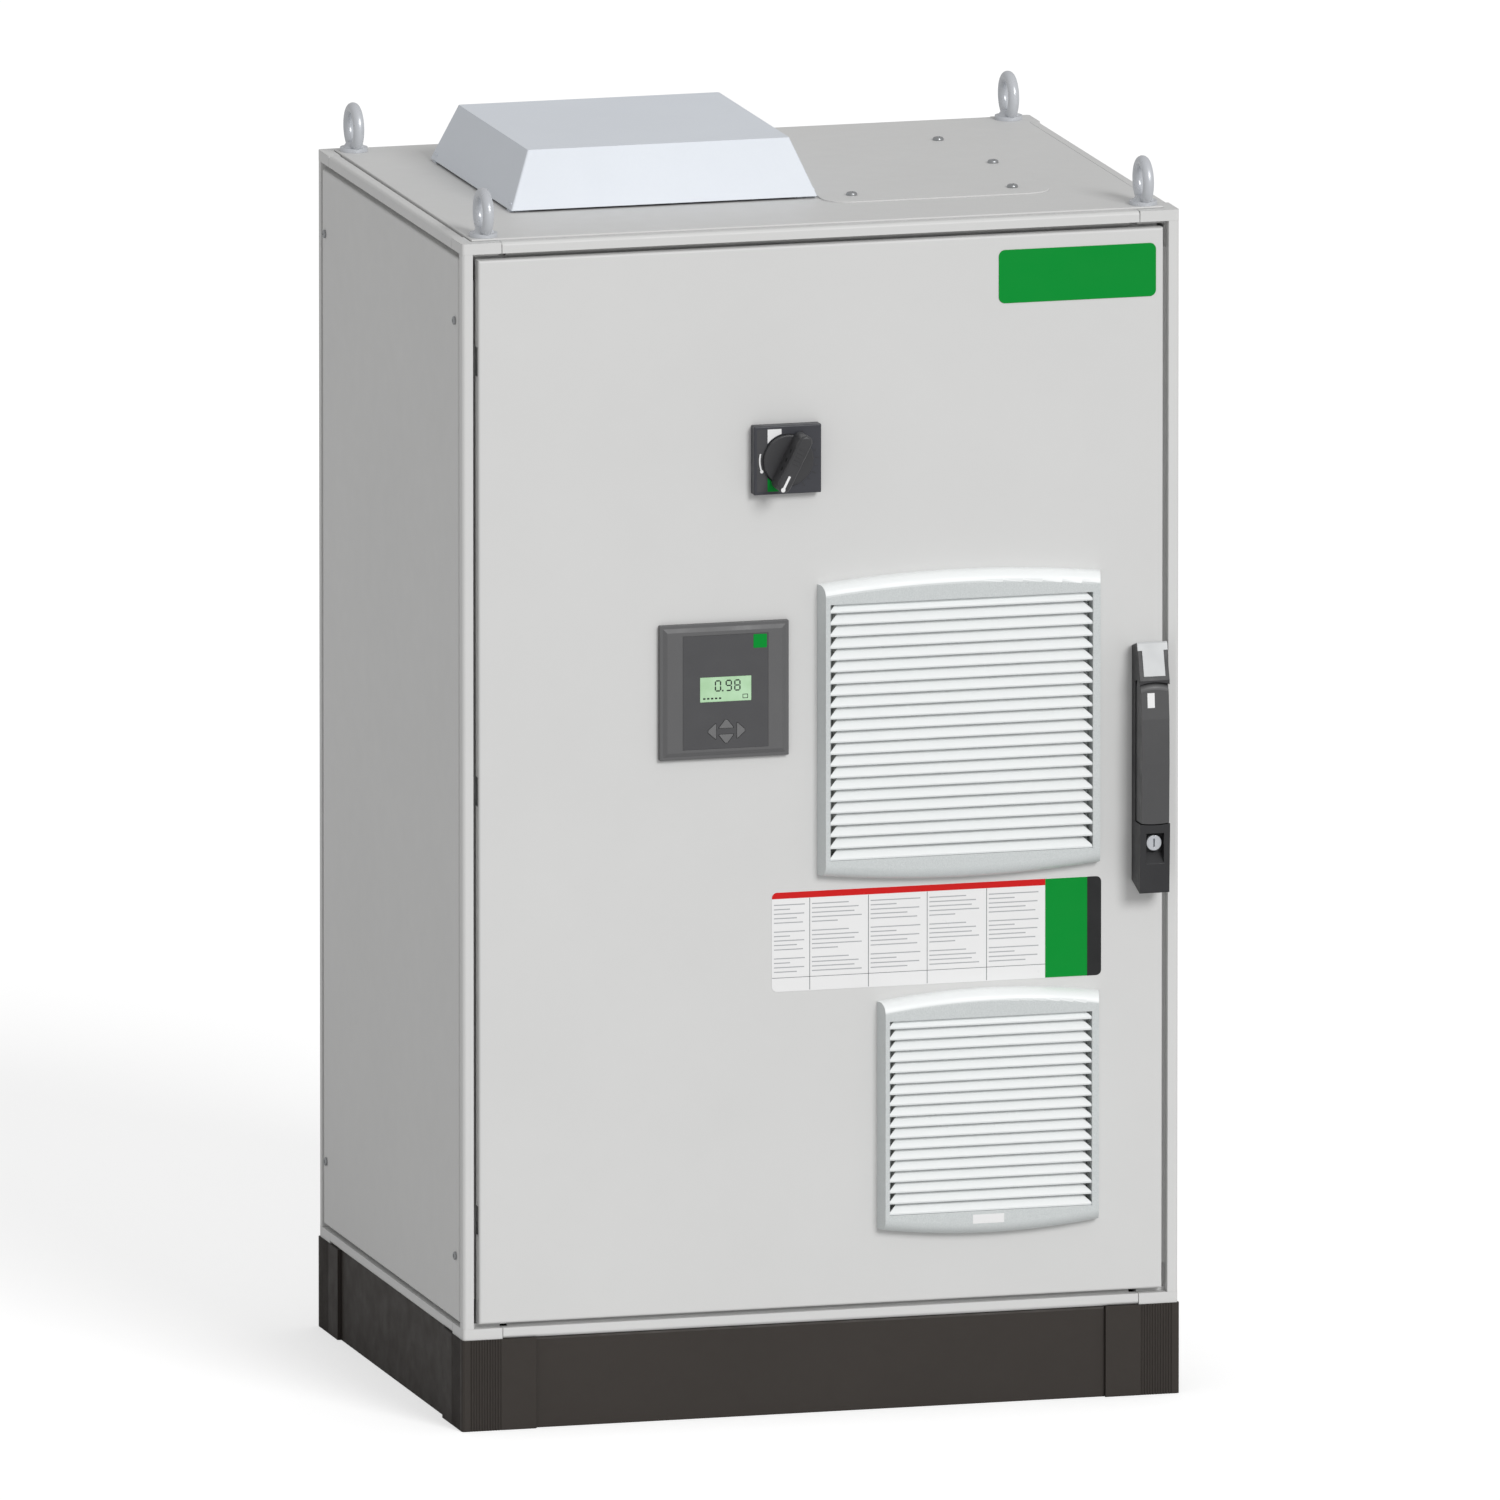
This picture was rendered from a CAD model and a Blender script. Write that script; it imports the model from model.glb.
"""Floor-standing electrical cabinet: CAD pieces with finishes, door prints, soft parts and stage.

Metres, Z up. The door is the front of the cabinet: its outer face lies at y = DOOR_FACE and
looks along -Y, with +X to the right as one stands before it. Details on the door are given in
millimetres as x, z and a distance out of the door face.
"""
import bpy
import bmesh
import math
from mathutils import Vector, Matrix, noise

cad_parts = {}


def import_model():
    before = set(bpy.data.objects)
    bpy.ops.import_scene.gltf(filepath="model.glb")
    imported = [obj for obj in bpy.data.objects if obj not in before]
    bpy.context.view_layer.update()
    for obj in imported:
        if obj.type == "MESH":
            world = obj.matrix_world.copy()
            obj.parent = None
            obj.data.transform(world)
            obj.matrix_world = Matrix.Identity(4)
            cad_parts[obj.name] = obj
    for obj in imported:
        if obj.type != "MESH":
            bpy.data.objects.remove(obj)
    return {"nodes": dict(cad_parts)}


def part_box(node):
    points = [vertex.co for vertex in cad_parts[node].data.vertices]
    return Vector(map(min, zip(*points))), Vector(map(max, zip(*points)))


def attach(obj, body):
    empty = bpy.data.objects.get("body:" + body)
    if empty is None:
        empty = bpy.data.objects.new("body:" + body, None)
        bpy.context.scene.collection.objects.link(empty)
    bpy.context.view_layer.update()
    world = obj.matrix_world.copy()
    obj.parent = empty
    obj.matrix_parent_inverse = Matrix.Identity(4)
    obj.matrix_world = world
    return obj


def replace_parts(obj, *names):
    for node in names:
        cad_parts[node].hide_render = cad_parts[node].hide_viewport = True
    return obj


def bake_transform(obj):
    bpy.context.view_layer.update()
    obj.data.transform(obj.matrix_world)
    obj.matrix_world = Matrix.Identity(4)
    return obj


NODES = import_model()["nodes"]
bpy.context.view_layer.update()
MM = 0.001
DOOR_FACE = -0.300


# ------------------------------------------------------------------ shader helpers
def linear(rgb):
    """sRGB 0..255 to linear RGBA"""
    channels = [v / 255.0 for v in rgb]
    return tuple(v / 12.92 if v <= 0.04045 else ((v + 0.055) / 1.055) ** 2.4
                 for v in channels) + (1.0,)


def shade(colour, factor):
    return tuple(min(1.0, v * factor) for v in colour[:3]) + (1.0,)


def new_material(name):
    material = bpy.data.materials.new(name)
    material.use_nodes = True
    tree = material.node_tree
    return material, tree, tree.nodes["Principled BSDF"]


def noise_tex(tree, scale, detail, rough=0.5, stretch=(1, 1, 1)):
    """noise in object coordinates"""
    tex = tree.nodes.new("ShaderNodeTexNoise")
    tex.inputs["Scale"].default_value = scale
    tex.inputs["Detail"].default_value = detail
    tex.inputs["Roughness"].default_value = rough
    coords = tree.nodes.new("ShaderNodeTexCoord")
    mapping = tree.nodes.new("ShaderNodeMapping")
    mapping.inputs["Scale"].default_value = stretch
    tree.links.new(coords.outputs["Object"], mapping.inputs["Vector"])
    tree.links.new(mapping.outputs["Vector"], tex.inputs["Vector"])
    return tex.outputs["Fac"]


def ramp(tree, value, span, to=(0.0, 1.0)):
    """map the value from span onto to"""
    node = tree.nodes.new("ShaderNodeMapRange")
    node.inputs["From Min"].default_value, node.inputs["From Max"].default_value = span
    node.inputs["To Min"].default_value, node.inputs["To Max"].default_value = to
    tree.links.new(value, node.inputs["Value"])
    return node.outputs["Result"]


def mix(tree, factor, first, second):
    """colour mix; each colour is an RGBA tuple or a socket"""
    node = tree.nodes.new("ShaderNodeMix")
    node.data_type = "RGBA"
    # sockets of the RGBA mode: 0 is the factor, 6 and 7 the two colours, output 2 the result
    for socket, colour in ((node.inputs[6], first), (node.inputs[7], second)):
        if isinstance(colour, tuple):
            socket.default_value = colour
        else:
            tree.links.new(colour, socket)
    tree.links.new(factor, node.inputs[0])
    return node.outputs[2]


# ------------------------------------------------------------------ materials
def surface(name, rgb, rough, grain, depth, drift, metal=0.0, spec=0.5, edge=0.0006, cavity=0.25,
            reach=0.006, stretch=(1, 1, 1), rough_drift=0.08, low=None):
    """painted, moulded or plated surface: fine relief, slow colour drift, rounded edges and
    darkening in the gaps; low is the colour of faces that don't look upward"""
    material, tree, bsdf = new_material(name)
    link = tree.links.new
    base = linear(rgb)

    slow = noise_tex(tree, scale=6.0, detail=4.0, rough=0.6)
    colour = mix(tree, ramp(tree, slow, span=(0.3, 0.7)),
                 shade(base, 1.0 - drift), shade(base, 1.0 + drift * 0.5))
    if low:
        geometry = tree.nodes.new("ShaderNodeNewGeometry")
        split = tree.nodes.new("ShaderNodeSeparateXYZ")
        link(geometry.outputs["True Normal"], split.inputs[0])
        colour = mix(tree, ramp(tree, split.outputs["Z"], span=(0.03, 0.2)), linear(low), colour)
    fine = noise_tex(tree, scale=grain, detail=3.0, rough=0.55, stretch=stretch)
    colour = mix(tree, ramp(tree, fine, span=(0.35, 0.65), to=(0.0, 0.35)),
                 colour, shade(base, 1.0 - drift * 1.6))
    if cavity:
        occlusion = tree.nodes.new("ShaderNodeAmbientOcclusion")
        occlusion.samples = 4
        occlusion.inputs["Distance"].default_value = reach
        gaps = ramp(tree, occlusion.outputs["AO"], span=(0.25, 0.9), to=(cavity, 0.0))
        colour = mix(tree, gaps, colour, shade(base, 0.45))
    link(colour, bsdf.inputs["Base Color"])

    wear = noise_tex(tree, scale=40.0, detail=4.0)
    link(ramp(tree, wear, span=(0.3, 0.7), to=(rough - rough_drift, rough + rough_drift)),
         bsdf.inputs["Roughness"])
    bsdf.inputs["Metallic"].default_value = metal
    bsdf.inputs["Specular IOR Level"].default_value = spec

    bump = tree.nodes.new("ShaderNodeBump")
    bump.inputs["Strength"].default_value = 0.6
    bump.inputs["Distance"].default_value = depth
    link(fine, bump.inputs["Height"])
    if edge:
        bevel = tree.nodes.new("ShaderNodeBevel")
        bevel.samples = 4
        bevel.inputs["Radius"].default_value = edge
        link(bevel.outputs["Normal"], bump.inputs["Normal"])
    link(bump.outputs["Normal"], bsdf.inputs["Normal"])
    return material


def lcd_window():
    material, tree, bsdf = new_material("lcd_window")
    cloud = noise_tex(tree, scale=60, detail=2)
    colour = mix(tree, ramp(tree, cloud, span=(0.3, 0.7)),
                 linear((172, 210, 168)), linear((186, 222, 184)))
    tree.links.new(colour, bsdf.inputs["Base Color"])
    tree.links.new(colour, bsdf.inputs["Emission Color"])
    bsdf.inputs["Emission Strength"].default_value = 0.12
    bsdf.inputs["Roughness"].default_value = 0.18
    bsdf.inputs["Coat Weight"].default_value = 0.4
    return material


def filter_fleece():
    material, tree, bsdf = new_material("filter_fleece")
    fibres = noise_tex(tree, scale=900, detail=6, rough=0.7)
    patches = noise_tex(tree, scale=120, detail=4, rough=0.6)
    colour = mix(tree, ramp(tree, fibres, span=(0.3, 0.7)),
                 linear((196, 198, 194)), linear((232, 233, 228)))
    colour = mix(tree, ramp(tree, patches, span=(0.4, 0.75), to=(0.0, 0.35)),
                 colour, linear((170, 171, 166)))
    tree.links.new(colour, bsdf.inputs["Base Color"])
    bsdf.inputs["Roughness"].default_value = 0.95
    bsdf.inputs["Sheen Weight"].default_value = 0.4
    bump = tree.nodes.new("ShaderNodeBump")
    bump.inputs["Distance"].default_value = 0.0006
    tree.links.new(fibres, bump.inputs["Height"])
    tree.links.new(bump.outputs["Normal"], bsdf.inputs["Normal"])
    return material


# name, sRGB colour, roughness, grain scale, grain depth (m), colour drift, other settings
SURFACES = (
    ("powder_coat_grey", (222, 222, 221), 0.52, 1100, 5e-5, 0.018, {}),
    ("galvanised_pale", (233, 238, 245), 0.52, 260, 2e-5, 0.015, dict(rough_drift=0.02, spec=0.35)),
    ("powder_coat_umber", (58, 53, 49), 0.55, 1000, 8e-5, 0.06, dict(spec=0.3)),
    ("zinc_plate", (176, 178, 180), 0.34, 500, 3e-5, 0.08, dict(metal=0.85, stretch=(1, 1, 0.1))),
    ("cast_zinc", (214, 217, 222), 0.30, 700, 12e-5, 0.06, dict(metal=0.3)),
    ("moulded_black", (38, 38, 39), 0.5, 1400, 6e-5, 0.08, {}),
    ("moulded_grey", (150, 153, 156), 0.5, 1400, 5e-5, 0.04, {}),
    ("moulded_pale", (252, 255, 255), 0.42, 1500, 3e-5, 0.01,
     dict(cavity=0.05, reach=0.010, low=(202, 207, 207))),
    ("copper_bar", (196, 120, 84), 0.28, 500, 2e-5, 0.10, dict(metal=1.0, stretch=(0.05, 1, 1))),
    ("moulded_red", (150, 44, 34), 0.45, 1300, 4e-5, 0.05, {}),
    ("drawn_aluminium", (198, 200, 203), 0.30, 420, 2e-5, 0.05,
     dict(metal=0.95, stretch=(1, 1, 0.06))),
    ("cable_sheath", (30, 30, 31), 0.42, 600, 6e-5, 0.08, dict(edge=0)),
    ("foamed_seal", (52, 52, 53), 0.85, 1800, 3e-4, 0.15, dict(edge=0, spec=0.2)),
    ("switch_base_plastic", (62, 63, 69), 0.42, 1500, 5e-5, 0.04, {}),
    ("knob_plastic", (62, 62, 64), 0.38, 1500, 4e-5, 0.05, {}),
    ("bezel_plastic", (100, 100, 101), 0.48, 1500, 6e-5, 0.04, {}),
    ("face_film", (80, 80, 82), 0.36, 1900, 2e-5, 0.02, dict(edge=0.0002)),
    ("key_plastic", (116, 116, 117), 0.45, 1700, 3e-5, 0.03, {}),
    ("handle_base_black", (46, 46, 48), 0.45, 1500, 8e-5, 0.06, {}),
    ("handle_lever_grey", (80, 80, 81), 0.42, 1500, 7e-5, 0.05, {}),
    ("handle_cap_pale", (205, 207, 208), 0.4, 1500, 3e-5, 0.02, {}),
    ("printed_white", (246, 246, 246), 0.35, 1500, 1e-5, 0.01, dict(edge=0.0001)),
    ("printed_rule", (120, 122, 126), 0.35, 1500, 1e-5, 0.02, dict(edge=0)),
    ("printed_grey_strip", (78, 78, 80), 0.4, 1500, 1e-5, 0.02, dict(edge=0, spec=0.3)),
    ("printed_bars", (176, 178, 181), 0.35, 1500, 1e-5, 0.02, dict(edge=0)),
    ("printed_green", (0, 149, 53), 0.4, 1500, 1e-5, 0.03, dict(edge=0.0001, spec=0.15)),
    ("printed_red", (216, 32, 32), 0.4, 1500, 1e-5, 0.03, dict(edge=0.0001, spec=0.15)),
    ("printed_black", (26, 27, 28), 0.35, 1500, 1e-5, 0.03, dict(edge=0.0001)),
    ("lcd_segments", (38, 52, 44), 0.3, 1500, 1e-5, 0.02, dict(edge=0, cavity=0)),
)
MATERIALS = {name: surface(name, *values, **settings) for name, *values, settings in SURFACES}
MATERIALS["lcd_window"] = lcd_window()
MATERIALS["filter_fleece"] = filter_fleece()

# material of each CAD piece
FINISHES = {
    "powder_coat_umber": "plinth_corners plinth_end_panels plinth_side_panels",
    "powder_coat_grey": "frame_rails base_corner_castings corner_posts top_corner_castings "
                        "side_panels rear_panel roof_panel roof_cover_plate door_panel "
                        "door_stiffeners",
    "galvanised_pale": "roof_cowl",
    "zinc_plate": "panel_screws cable_entry_plate mounting_plate mounting_brackets din_rails "
                  "capacitor_shelf hinge_brackets hinge_pins hinge_leaves rod_guides "
                  "extension_shaft handle_spindle upper_lock_rod lower_lock_rod",
    "cast_zinc": "eye_bolts lock_cylinder",
    "moulded_black": "roof_fan_frame main_breaker capacitor_terminals fan_impeller",
    "moulded_grey": "breaker_operator contactors terminal_block wiring_ducts",
    "moulded_pale": "fuse_bases upper_grille lower_grille",
    "moulded_red": "busbar_supports",
    "copper_bar": "busbars",
    "drawn_aluminium": "capacitors",
    "cable_sheath": "power_cables door_cable_loom",
    "foamed_seal": "door_gasket",
    "filter_fleece": "filter_mats",
    "switch_base_plastic": "switch_base",
    "knob_plastic": "switch_knob",
    "bezel_plastic": "controller_housing",
    "face_film": "controller_face",
    "lcd_window": "controller_display",
    "key_plastic": "key_up key_down key_left key_right",
    "handle_base_black": "handle_base",
    "handle_lever_grey": "handle_lever",
    "handle_cap_pale": "handle_cap",
}


def finish_cad_pieces():
    finish_of = {piece: finish for finish, pieces in FINISHES.items() for piece in pieces.split()}
    for name, piece in NODES.items():
        material = MATERIALS[finish_of[name]]
        if not piece.material_slots:
            piece.data.materials.append(material)
        for slot in piece.material_slots:
            slot.material = material


finish_cad_pieces()


# ------------------------------------------------------------------ mesh helpers
def link_object(name, data):
    thing = bpy.data.objects.new(name, data)
    bpy.context.scene.collection.objects.link(thing)
    return thing


def make(name, bm, finishes, body=None, smooth=False):
    """turn the bmesh into an object that rides on a body"""
    bmesh.ops.recalc_face_normals(bm, faces=bm.faces[:])
    mesh = bpy.data.meshes.new(name)
    bm.to_mesh(mesh)
    bm.free()
    for finish in finishes:
        mesh.materials.append(MATERIALS[finish])
    if smooth:
        for polygon in mesh.polygons:
            polygon.use_smooth = True
    thing = link_object(name, mesh)
    if body:
        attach(thing, body)
    return thing


def skin(bm, rings, material=0, closed=False):
    """faces between successive rings, with end caps unless the last ring joins the first"""
    faces = []
    following = rings[1:] + rings[:1] if closed else rings[1:]
    for a, b in zip(rings, following):
        n = len(a)
        faces += [bm.faces.new((a[i], a[(i + 1) % n], b[(i + 1) % n], b[i])) for i in range(n)]
    if not closed:
        faces.append(bm.faces.new(list(reversed(rings[0]))))
        faces.append(bm.faces.new(rings[-1]))
    for face in faces:
        face.material_index = material


def door_row(bm, points, out):
    """vertices at (x, z) mm, out mm in front of the door face"""
    return [bm.verts.new((x * MM, DOOR_FACE - out * MM, z * MM)) for x, z in points]


def corner_arcs(x0, x1, z0, z1, radius, steps=8):
    """the corners anticlockwise from the upper right, as seen from the front: name, square
    corner point, and the arc's points with their outward normals (x, z, nx, nz)"""
    for name, x, z, side_x, side_z, start in (("tr", x1, z1, 1, 1, 0), ("tl", x0, z1, -1, 1, 90),
                                              ("bl", x0, z0, -1, -1, 180),
                                              ("br", x1, z0, 1, -1, 270)):
        arc = []
        for i in range(steps + 1):
            angle = math.radians(start + 90.0 * i / steps)
            nx, nz = math.cos(angle), math.sin(angle)
            arc.append((x - side_x * radius + radius * nx, z - side_z * radius + radius * nz,
                        nx, nz))
        yield name, (x, z), arc


def rounded(x0, x1, z0, z1, radius, corners=("tr", "tl", "bl", "br")):
    """rectangle with only the named corners rounded"""
    outline = []
    for name, square, arc in corner_arcs(x0, x1, z0, z1, radius):
        outline += [point[:2] for point in arc] if name in corners else [square]
    return outline


def rect(x0, x1, z0, z1):
    return [(x1, z1), (x0, z1), (x0, z0), (x1, z0)]


def disc(x, z, radius):
    return [(x + radius * math.cos(t * math.pi / 8), z + radius * math.sin(t * math.pi / 8))
            for t in range(16)]


def add_slab(bm, outline, depth, material=0, ease=0.12):
    """closed slab on the door, between two distances out of its face, with an eased front edge"""
    back, front = depth
    xs, zs = zip(*outline)
    mid_x, mid_z = sum(xs) / len(xs), sum(zs) / len(zs)
    ease = min(ease, (front - back) * 0.45)

    def ring(out, inset):
        scale_x = 1.0 - 2 * inset / (max(xs) - min(xs))
        scale_z = 1.0 - 2 * inset / (max(zs) - min(zs))
        return door_row(bm, [(mid_x + (x - mid_x) * scale_x, mid_z + (z - mid_z) * scale_z)
                             for x, z in outline], out)
    skin(bm, [ring(back, 0), ring(front - ease, 0), ring(front, ease)], material)


def add_strip(bm, inner, outer, depth, material=0):
    """closed band between two equally long point rows, safe for concave shapes"""
    inner_back, inner_front = [door_row(bm, inner, out) for out in depth]
    outer_back, outer_front = [door_row(bm, outer, out) for out in depth]
    skin(bm, list(zip(inner_back, inner_front, outer_front, outer_back)), material)


def slabs(name, items, finish):
    """one object on the door from (outline, depth) items"""
    bm = bmesh.new()
    for outline, depth in items:
        add_slab(bm, outline, depth)
    return make(name, bm, [finish], "door")


# ------------------------------------------------------------------ labels on the door
slabs("rating_plate", [(rounded(197.9, 373.6, 1206.7, 1265.0, 7.0), (0.02, 0.55))],
      "printed_green")

LABEL_X0, LABEL_X1 = -55.5, 313.3
LABEL_Z0, LABEL_Z1 = 464.8, 574.0
LABEL_RADIUS = 6.0
LABEL_BORDER = 0.2                          # white border left around the coloured fields
GREEN_X0, GREEN_X1 = 250.4, 297.3           # green field, between the table and the black end
COLUMN_RULES = (-13.0, 52.6, 118.3, 184.8)  # vertical rules of the table
ROWS, ROW_PITCH = 16, 4.9
BLANK_ROWS = (5, 11)
BAR_LENGTHS = (0.96, 0.82, 0.90, 0.71, 0.94, 0.5)  # share of the full bar length


def data_label():
    """white label: red band above a table, then a green field and a black right end"""
    white, red, green, black, rule, bars = range(6)
    field_depth, rule_depth, bar_depth = (0.38, 0.52), (0.38, 0.48), (0.38, 0.44)
    top, bottom = LABEL_Z1 - LABEL_BORDER, LABEL_Z0 + LABEL_BORDER
    radius = LABEL_RADIUS - LABEL_BORDER
    bm = bmesh.new()
    add_slab(bm, rounded(LABEL_X0, LABEL_X1, LABEL_Z0, LABEL_Z1, LABEL_RADIUS), (0.02, 0.40), white)
    for outline, colour in (
            (rounded(LABEL_X0 + LABEL_BORDER, GREEN_X0, top - 7.0, top, radius, ("tl",)), red),
            (rect(GREEN_X0, GREEN_X1, LABEL_Z0 + 0.3, LABEL_Z1 - 0.3), green),
            (rounded(GREEN_X1, LABEL_X1 - LABEL_BORDER, bottom, top, radius, ("tr", "br")),
             black)):
        add_slab(bm, outline, field_depth, colour, ease=0.02)
    for x in COLUMN_RULES:
        add_slab(bm, rect(x - 0.35, x + 0.35, LABEL_Z0 + 1.0, LABEL_Z1 - 7.5), rule_depth, rule,
                 ease=0.02)
    add_slab(bm, rect(LABEL_X0 + 0.3, GREEN_X0 - 0.2, LABEL_Z0 + 15.0, LABEL_Z0 + 15.6),
             rule_depth, rule, ease=0.02)
    # plain grey bars fill the rows of the table
    for column, x in enumerate([LABEL_X0 + 2.5] + [x + 2.4 for x in COLUMN_RULES]):
        full = 36.0 if column == 0 else 58.0
        for row in range(ROWS):
            if row in BLANK_ROWS:
                continue
            length = full * BAR_LENGTHS[(row * 5 + column * 3) % 6]
            z = LABEL_Z1 - 14.0 - row * ROW_PITCH
            add_slab(bm, rect(x, x + length, z - 0.55, z + 0.55), bar_depth, bars, ease=0.02)
    make("data_label", bm, ["printed_white", "printed_red", "printed_green", "printed_black",
                            "printed_rule", "printed_bars"], "door")


data_label()

# ------------------------------------------------------------------ controller display
DIGIT_X, DIGIT_Z = -121.0, 799.0    # lower left corner of the first figure
DIGIT_PITCH, POINT_GAP = 9.6, 2.4   # the gap makes room for the decimal point
DIGIT_WIDTH, DIGIT_HEIGHT = 7.2, 12.5
STROKE = 1.5
POINT_X, POINT_SIZE = -113.0, 1.7
READING = ("abcdef", "abcdfg", "abcdefg")  # lit segments of 0, 9 and 8


def digit(x, z, lit):
    """outlines of the lit segments, lower left corner at (x, z)"""
    gap, half = STROKE * 0.18, STROKE / 2
    right, top, middle = x + DIGIT_WIDTH, z + DIGIT_HEIGHT, z + DIGIT_HEIGHT / 2

    def level(zc):
        return [(x + gap + half, zc), (x + gap + STROKE, zc - half),
                (right - STROKE - gap, zc - half), (right - half - gap, zc),
                (right - STROKE - gap, zc + half), (x + gap + STROKE, zc + half)]

    def upright(xc, low, high):
        return [(xc, low + gap), (xc + half, low + half + gap), (xc + half, high - half - gap),
                (xc, high - gap), (xc - half, high - half - gap), (xc - half, low + half + gap)]
    segments = {"a": level(top - half), "g": level(middle), "d": level(z + half),
                "f": upright(x + half, middle, top - half),
                "b": upright(right - half, middle, top - half),
                "e": upright(x + half, z + half, middle),
                "c": upright(right - half, z + half, middle)}
    return [segments[key] for key in lit]


def display_reading():
    """the figures 0.98 over a row of five dashes and a small open box"""
    figure_depth, mark_depth = (7.62, 7.72), (7.62, 7.70)
    figures = []
    for i, lit in enumerate(READING):
        figures += digit(DIGIT_X + i * DIGIT_PITCH + (POINT_GAP if i else 0), DIGIT_Z, lit)
    figures.append(rect(POINT_X, POINT_X + POINT_SIZE, DIGIT_Z, DIGIT_Z + POINT_SIZE))
    marks = [rect(-134.0 + i * 4.4, -131.4 + i * 4.4, 790.8, 792.6) for i in range(5)]
    x0, x1, z0, z1, line = -90.0, -84.0, 790.4, 795.2, 0.7
    marks += [rect(x0, x1, z0, z0 + line), rect(x0, x1, z1 - line, z1),
              rect(x0, x0 + line, z0 + line, z1 - line),
              rect(x1 - line, x1, z0 + line, z1 - line)]
    slabs("display_reading", [(outline, figure_depth) for outline in figures]
          + [(outline, mark_depth) for outline in marks], "lcd_segments")


display_reading()
slabs("status_square", [(rounded(-78.0, -63.0, 845.0, 860.0, 0.8), (8.02, 8.3))],
      "printed_green")

# ------------------------------------------------------------------ rotary switch
SWITCH_X, SWITCH_Z = -41.0, 1050.0
PRINT_REACH = 34.0            # half height of the printed area
FIELD_X0, FIELD_X1 = SWITCH_X - 22.6, SWITCH_X - 7.1
FIELD_RADIUS = 29.2           # circle that cuts the coloured fields
FIELD_STEPS = 14
GRIP_ANGLE = math.radians(27.0)  # clockwise from straight up


def polar(radius, start, end, steps=20):
    """arc about the switch centre, degrees clockwise from straight up"""
    angles = [math.radians(start + (end - start) * i / steps) for i in range(steps + 1)]
    return [(SWITCH_X + radius * math.sin(a), SWITCH_Z + radius * math.cos(a)) for a in angles]


def grip_point(along, across):
    """(x, z) from distances along the grip and to its right"""
    sine, cosine = math.sin(GRIP_ANGLE), math.cos(GRIP_ANGLE)
    return (SWITCH_X + sine * along + cosine * across, SWITCH_Z + cosine * along - sine * across)


def grip_bar(start, end, half):
    return [grip_point(*p) for p in ((start, half), (start, -half), (end, -half), (end, half))]


def switch_fields():
    """grey strip at the left, white and green fields, white arc with a dot, tick marks"""
    white, green, strip, tick = range(4)
    bm = bmesh.new()
    add_slab(bm, rect(SWITCH_X - 34.5, SWITCH_X - 23.2, SWITCH_Z - PRINT_REACH,
                      SWITCH_Z + PRINT_REACH), (12.96, 13.10), strip, ease=0.04)
    xs = [FIELD_X0 + (FIELD_X1 - FIELD_X0) * i / FIELD_STEPS for i in range(FIELD_STEPS + 1)]
    for side, colour in ((1, white), (-1, green)):
        inner = [(x, SWITCH_Z + side * math.sqrt(FIELD_RADIUS ** 2 - (x - SWITCH_X) ** 2))
                 for x in xs]
        outer = [(x, SWITCH_Z + side * PRINT_REACH) for x in xs]
        add_strip(bm, inner, outer, (12.96, 13.2), colour)
    arc_start = -112
    add_strip(bm, polar(30.6, arc_start, -76), polar(32.2, arc_start, -76), (13.05, 13.3), white)
    dot_x, dot_z = polar(31.4, arc_start, arc_start, 1)[0]
    add_slab(bm, disc(dot_x, dot_z, 1.9), (13.05, 13.32), white, ease=0.04)
    for i in range(9):
        angle = 28.0 + 15.0 * i
        add_strip(bm, polar(30.2, angle - 0.9, angle + 0.9, 2),
                  polar(33.6 if i % 2 else 35.2, angle - 0.8, angle + 0.8, 2),
                  (12.96, 13.1), tick)
    make("switch_fields", bm, ["printed_white", "printed_green", "printed_grey_strip",
                               "knob_plastic"], "door")


def knob_pointer():
    """white bar and dot towards one end of the grip, five raised cross lines towards the other"""
    white, line = range(2)
    bm = bmesh.new()
    add_slab(bm, grip_bar(-14, -29.0, 1.3), (44.4, 44.72), white, ease=0.1)
    add_slab(bm, [grip_point(*p) for p in disc(-30.4, 0, 2.5)], (44.4, 44.74), white, ease=0.1)
    for i in range(-2, 3):
        start = 8 + i * 4.2
        add_slab(bm, grip_bar(start, start + 1.2, 4.2), (44.3, 44.9), line, ease=0.2)
    make("knob_pointer", bm, ["printed_white", "knob_plastic"], "switch_knob")


def grip_recesses():
    """three dark round spots along the grip's left flank"""
    bm = bmesh.new()
    for along in (-10.6, 0.0, 10.6):
        rings = []
        for across in (-7.45, -7.75):
            ring = []
            for s, out in disc(along, 31.0, 2.3):
                ring += door_row(bm, [grip_point(s, across)], out)
            rings.append(ring)
        skin(bm, rings)
    make("grip_recesses", bm, ["printed_black"], "switch_knob")


switch_fields()
knob_pointer()
grip_recesses()

# ------------------------------------------------------------------ handle and grille marks
HANDLE_X, HANDLE_Z = 363.8, 735.5


def lever_mark():
    """thin white plate on the lever's sloping front, which falls back 1 in 10 going up"""
    x0, x1 = HANDLE_X - 8.5, HANDLE_X - 0.5
    z0, z1 = 762.0, 778.0
    bm = bmesh.new()
    rings = []
    for lift in (-0.05, 0.15):
        ring = []
        for x, z in ((x0, z0), (x1, z0), (x1, z1), (x0, z1)):
            ring += door_row(bm, [(x, z)], 36.0 - (z - HANDLE_Z - 14.0) / 10.0 + lift)
        rings.append(ring)
    skin(bm, rings)
    make("lever_mark", bm, ["printed_white"], "handle_lever")


lever_mark()
slabs("grille_sticker", [(rect(164.5, 199.5, 202.5, 212.5), (19.02, 19.25))], "printed_white")


# ------------------------------------------------------------------ filter mats
def box_mm(piece):
    return [[v * 1000 for v in corner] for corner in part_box(piece)]


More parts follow.
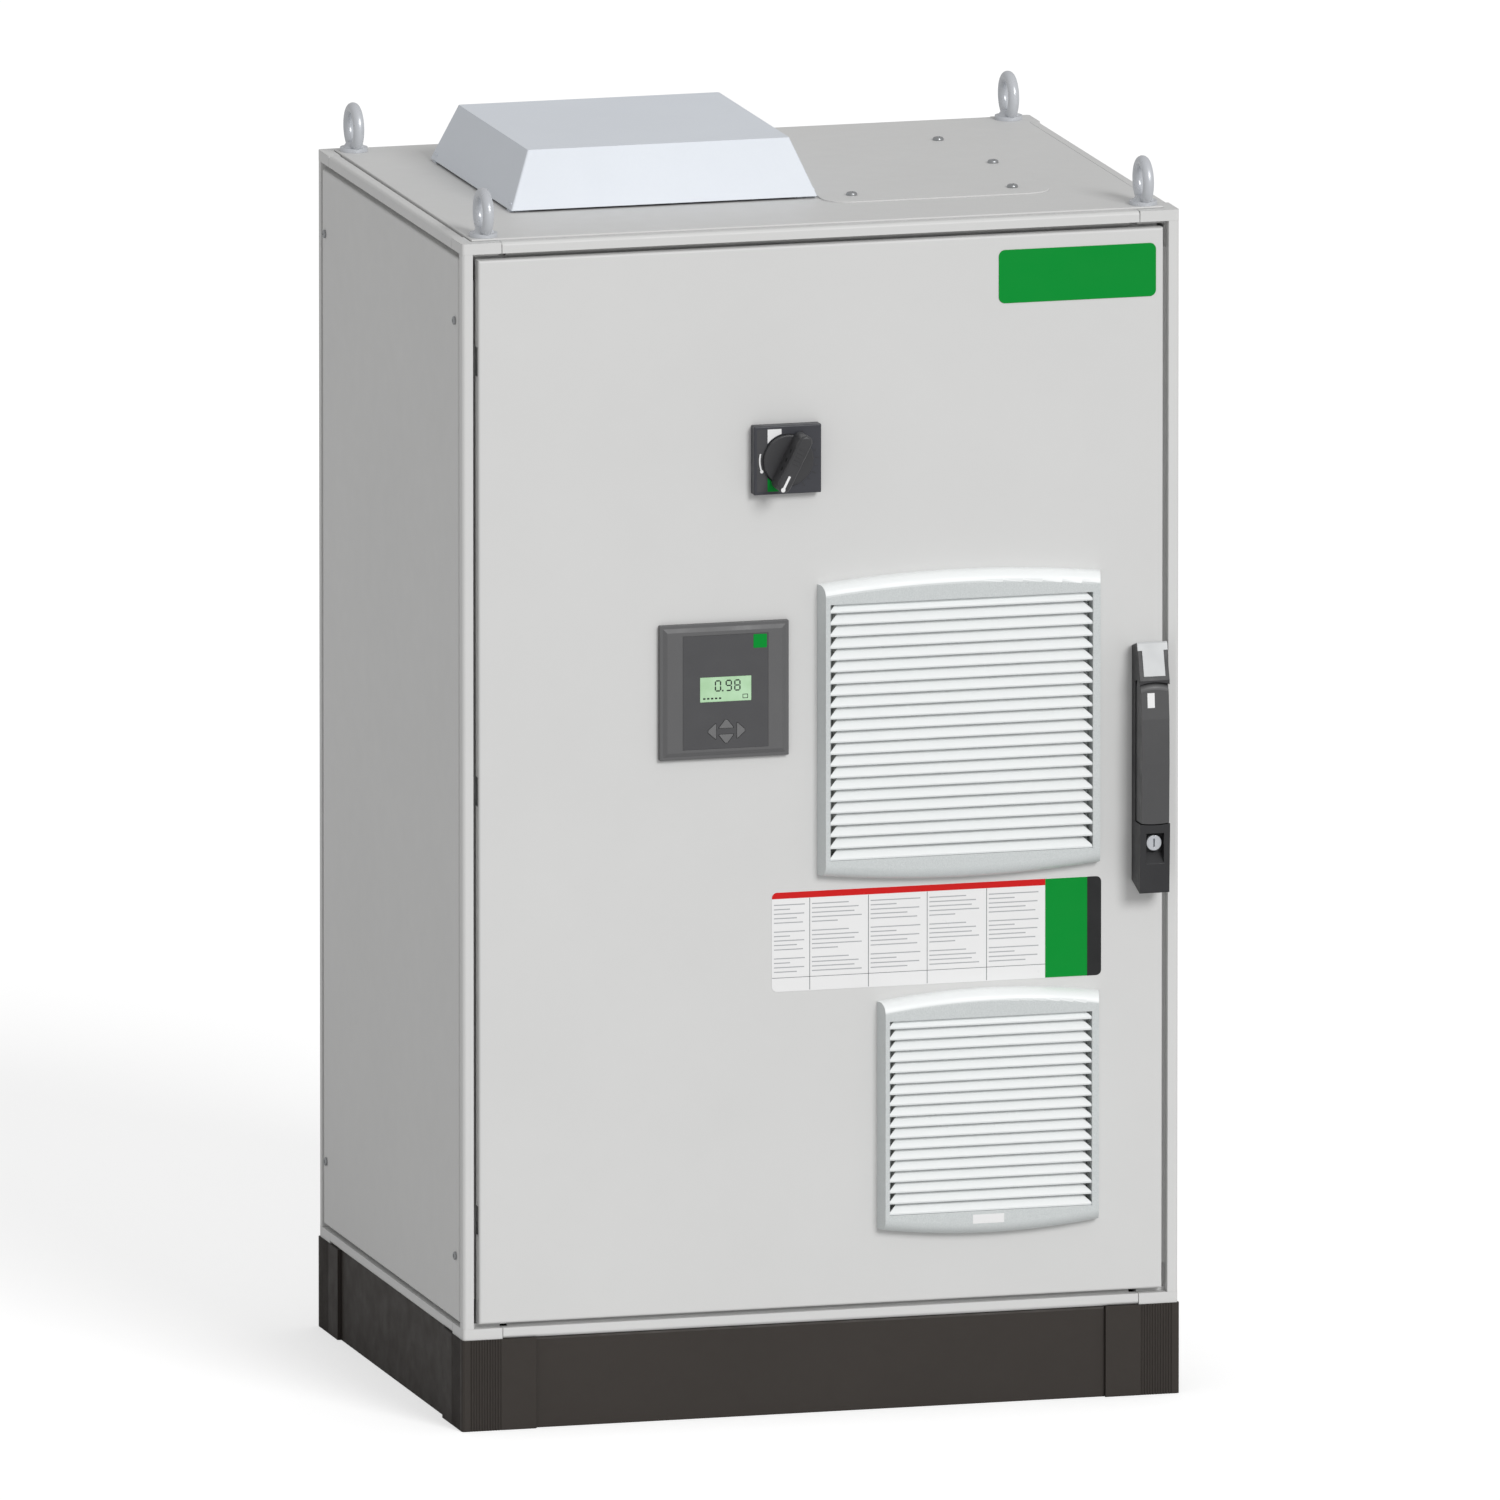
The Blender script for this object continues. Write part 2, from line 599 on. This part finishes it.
def soft_mat(name, grille, half, cells, y0, y1):
    """square needled mat centred on its grille: sides drawn in between the corners, crowned
    in the middle and held down in a light grid"""
    low, high = box_mm(grille)
    mid_x, mid_z = (low[0] + high[0]) / 2, (low[2] + high[2]) / 2

    def drawn_in(index, t):
        """inward shift of a border point, t of the way along its side"""
        shift = 2.2 * (1 - (2 * abs(t - 0.5)) ** 2)
        return {0: shift, cells: -shift}.get(index, 0)

    def vertex(i, j, side):
        u, v = i / cells, j / cells
        crown = min(1.0, min(u, 1 - u, v, 1 - v) * 2 * 5.0) ** 0.5
        x = mid_x - half + 2 * half * u + drawn_in(i, v)
        z = mid_z - half + 2 * half * v + drawn_in(j, u)
        thickness = (y1 - y0) / 2 * (0.45 + 0.5 * crown)
        hold = 1.6 * (abs(math.sin(u * math.pi * 4)) ** 8 + abs(math.sin(v * math.pi * 4)) ** 8)
        lumps = (noise.noise(Vector((x * 0.02, z * 0.02, side * 7.0))) * 0.9
                 + noise.noise(Vector((x * 0.11, z * 0.11, side))) * 0.4)
        swell = thickness - hold * 0.5 + lumps * crown - 0.6
        y = (y0 + y1) / 2 + (swell if side else -swell)
        return bm.verts.new((x * MM, y * MM, z * MM))

    bm = bmesh.new()
    n = cells
    a, b = [[[vertex(i, j, side) for i in range(n + 1)] for j in range(n + 1)] for side in (0, 1)]
    for j in range(n):
        for i in range(n):
            bm.faces.new((a[j][i], a[j][i + 1], a[j + 1][i + 1], a[j + 1][i]))
            bm.faces.new((b[j][i], b[j + 1][i], b[j + 1][i + 1], b[j][i + 1]))
    for i in range(n):
        bm.faces.new((a[0][i + 1], a[0][i], b[0][i], b[0][i + 1]))
        bm.faces.new((a[n][i], a[n][i + 1], b[n][i + 1], b[n][i]))
    for j in range(n):
        bm.faces.new((a[j][0], a[j + 1][0], b[j + 1][0], b[j][0]))
        bm.faces.new((a[j + 1][n], a[j][n], b[j][n], b[j + 1][n]))
    mat = make(name, bm, ["filter_fleece"], "door", smooth=True)
    subdivision = mat.modifiers.new("sub", "SUBSURF")
    subdivision.levels = 1
    subdivision.render_levels = 1
    return mat


def filter_mats():
    (_, y0, _), (_, y1, _) = box_mm("filter_mats")
    mats = [soft_mat("filter_mat_upper", "upper_grille", half=141, cells=46, y0=y0, y1=y1),
            soft_mat("filter_mat_lower", "lower_grille", half=107, cells=38, y0=y0, y1=y1)]
    for mat in mats:
        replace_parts(mat, "filter_mats")


filter_mats()

# ------------------------------------------------------------------ door seal
SEAL_HALF = 3.5      # half width of the bead
SEAL_HEIGHT = 18.0
SEAL_RADIUS = 14.0   # of the bead's centre line at the corners
SEAL_STEP = 25       # spacing of the sections on the straights
# bead section: across the bead, up from its foot
SEAL_SECTION = (
    (-3.4, 0.0), (-3.5, 4.0), (-3.4, 9.0), (-3.0, 13.0), (-2.2, 16.0), (-1.1, 17.6),
    (0, SEAL_HEIGHT),
    (1.1, 17.6), (2.2, 16.0), (3.0, 13.0), (3.4, 9.0), (3.5, 4.0), (3.4, 0.0),
)


def foam_seal():
    """foamed-in-place seal: one closed bead with a domed section and soft corners"""
    (x0, y0, z0), (x1, y1, z1) = box_mm("door_gasket")
    path = []
    for _, _, arc in corner_arcs(x0 + SEAL_HALF, x1 - SEAL_HALF, z0 + SEAL_HALF, z1 - SEAL_HALF,
                                 SEAL_RADIUS):
        path += arc
    stations = []
    for p, q in zip(path, path[1:] + path[:1]):
        parts = max(1, int(math.hypot(q[0] - p[0], q[1] - p[1]) / SEAL_STEP))
        stations += [[p[c] + (q[c] - p[c]) * (i / parts) for c in range(4)] for i in range(parts)]
    bm = bmesh.new()
    rings = []
    for x, z, nx, nz in stations:
        swell = 1.0 + 0.05 * noise.noise(Vector((x * 0.03, z * 0.03, 1.0)))
        length = math.hypot(nx, nz)
        nx, nz = nx / length, nz / length
        ring = []
        for across, up in SEAL_SECTION:
            offset = across * 0.97 * swell
            y = y0 + (y1 - y0) * up / SEAL_HEIGHT * (0.985 + 0.015 * swell)
            ring.append(bm.verts.new(((x + nx * offset) * MM, y * MM, (z + nz * offset) * MM)))
        rings.append(ring)
    skin(bm, rings, closed=True)
    seal = make("foam_seal", bm, ["foamed_seal"], "door", smooth=True)
    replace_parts(seal, "door_gasket")


foam_seal()

# ------------------------------------------------------------------ cable loom, in metres
LOOM_RADIUS = 0.0048
RIB_HEIGHT, RIB_PITCH = 0.0006, 0.006
LOOM_SIDES, LOOM_SAMPLES = 14, 80
# centre line points (x, y, z)
LOOM_ON_DOOR = ((-0.150, -0.2402, 0.799), (-0.150, -0.228, 0.799), (-0.19, -0.221, 0.795),
                (-0.27, -0.251, 0.790), (-0.306, -0.270, 0.790))
LOOM_LOOP = ((-0.304, -0.2705, 0.790), (-0.322, -0.272, 0.782), (-0.334, -0.262, 0.770),
             (-0.333, -0.235, 0.762), (-0.330, -0.200, 0.768), (-0.326, -0.150, 0.780))
LOOM_TO_PLATE = ((-0.326, -0.1502, 0.780), (-0.325, -0.09, 0.785), (-0.318, -0.02, 0.786),
                 (-0.312, 0.05, 0.782), (-0.311, 0.098, 0.770))


def smooth_path(points):
    """Catmull-Rom curve through the points"""
    points = [Vector(p) for p in points]
    last = len(points) - 1
    steps = LOOM_SAMPLES // last
    path = []
    for i in range(last):
        p0, p1, p2, p3 = points[max(i - 1, 0)], points[i], points[i + 1], points[min(i + 2, last)]
        for k in range(steps):
            t = k / steps
            path.append(0.5 * ((2 * p1) + (-p0 + p2) * t + (2 * p0 - 5 * p1 + 4 * p2 - p3) * t * t
                               + (-p0 + 3 * p1 - 3 * p2 + p3) * t ** 3))
    return path + [points[-1]]


def hose(name, points, body=None):
    """round ribbed hose through the given points, with closed ends"""
    path = smooth_path(points)
    side = (path[1] - path[0]).normalized().cross(Vector((0, 0, 1))).normalized()
    bm = bmesh.new()
    rings = []
    travelled = 0.0
    for i, p in enumerate(path):
        along = (path[min(i + 1, len(path) - 1)] - path[max(i - 1, 0)]).normalized()
        side = (side - along * side.dot(along)).normalized()
        other = along.cross(side)
        if i:
            travelled += (p - path[i - 1]).length
        wave = 0.5 + 0.5 * math.cos(2 * math.pi * travelled / RIB_PITCH)
        radius = LOOM_RADIUS + RIB_HEIGHT * wave
        angles = [2 * math.pi * k / LOOM_SIDES for k in range(LOOM_SIDES)]
        rings.append([bm.verts.new(p + (side * math.cos(a) + other * math.sin(a)) * radius)
                      for a in angles])
    skin(bm, rings)
    return make(name, bm, ["cable_sheath"], body, smooth=True)


def cable_loom():
    """loom on the door, its loop over to the cabinet and its run on to the mounting plate"""
    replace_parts(hose("door_loom", LOOM_ON_DOOR, "door"), "door_cable_loom")
    loop = hose("loom_loop", LOOM_LOOP)
    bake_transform(loop)
    hose("loom_to_plate", LOOM_TO_PLATE, "cabinet")


cable_loom()

# ------------------------------------------------------------------ stage, light and camera
VIEW_AZIMUTH, VIEW_ELEVATION = math.radians(15.376), math.radians(10.817)
VIEW_WIDTH = 1.6228         # width seen at the camera distance
CAMERA_DISTANCE = 60.0
CABINET_MIDDLE = Vector((0.0, 0.0, 0.68))
FLOOR_HALF = 60.0


def add_camera():
    """distant camera in front of the cabinet, slightly to its left and above"""
    sin_a, cos_a = math.sin(VIEW_AZIMUTH), math.cos(VIEW_AZIMUTH)
    sin_e, cos_e = math.sin(VIEW_ELEVATION), math.cos(VIEW_ELEVATION)
    right = Vector((cos_a, -sin_a, 0))
    up = Vector((sin_a * sin_e, cos_a * sin_e, cos_e))
    back = Vector((-sin_a * cos_e, -cos_a * cos_e, sin_e))
    aim = Vector((-0.400, -0.300, 1.300)) + 0.3089 * right - 0.5422 * up
    data = bpy.data.cameras.new("camera")
    data.sensor_width = 36.0
    data.lens = data.sensor_width * CAMERA_DISTANCE / VIEW_WIDTH
    data.clip_end = 400.0
    camera = link_object("camera", data)
    matrix = Matrix((right, up, back)).transposed().to_4x4()
    matrix.translation = aim + back * (CAMERA_DISTANCE + (CABINET_MIDDLE - aim).dot(back))
    camera.matrix_world = matrix
    bpy.context.scene.camera = camera


def add_floor():
    """pale floor that glows to the camera only"""
    bm = bmesh.new()
    bmesh.ops.create_grid(bm, x_segments=4, y_segments=4, size=FLOOR_HALF)
    mesh = bpy.data.meshes.new("floor")
    bm.to_mesh(mesh)
    bm.free()
    floor = link_object("floor", mesh)
    material, tree, bsdf = new_material("studio_floor")
    bsdf.inputs["Base Color"].default_value = (0.70, 0.70, 0.70, 1)
    bsdf.inputs["Roughness"].default_value = 0.9
    bsdf.inputs["Specular IOR Level"].default_value = 0.1
    bsdf.inputs["Emission Color"].default_value = (1, 1, 1, 1)
    rays = tree.nodes.new("ShaderNodeLightPath")
    glow = tree.nodes.new("ShaderNodeMath")
    glow.operation = "MULTIPLY"
    glow.inputs[1].default_value = 0.55
    tree.links.new(rays.outputs["Is Camera Ray"], glow.inputs[0])
    tree.links.new(glow.outputs[0], bsdf.inputs["Emission Strength"])
    mesh.materials.append(material)


def add_world():
    """white surroundings, dimmer as a light than as seen by the camera"""
    world = bpy.data.worlds.new("studio")
    bpy.context.scene.world = world
    world.use_nodes = True
    tree = world.node_tree
    background = tree.nodes["Background"]
    background.inputs["Color"].default_value = (1, 1, 1, 1)
    rays = tree.nodes.new("ShaderNodeLightPath")
    strength = ramp(tree, rays.outputs["Is Camera Ray"], span=(0.0, 1.0), to=(0.49, 1.0))
    tree.links.new(strength, background.inputs["Strength"])


def add_sun(name, towards, strength, angle):
    """sun that stands in the given direction; angle is its apparent size in degrees"""
    data = bpy.data.lights.new(name, "SUN")
    data.energy = strength
    data.angle = math.radians(angle)
    sun = link_object(name, data)
    sun.rotation_mode = "QUATERNION"
    sun.rotation_quaternion = Vector(towards).to_track_quat("Z", "Y")


def set_view():
    view = bpy.context.scene.view_settings
    view.view_transform = "Standard"
    view.look = "None"
    view.exposure = 0.0
    view.gamma = 1.0


add_camera()
add_floor()
add_world()
add_sun("key", towards=(0.27, -0.83, 0.486), strength=1.5, angle=22)
set_view()
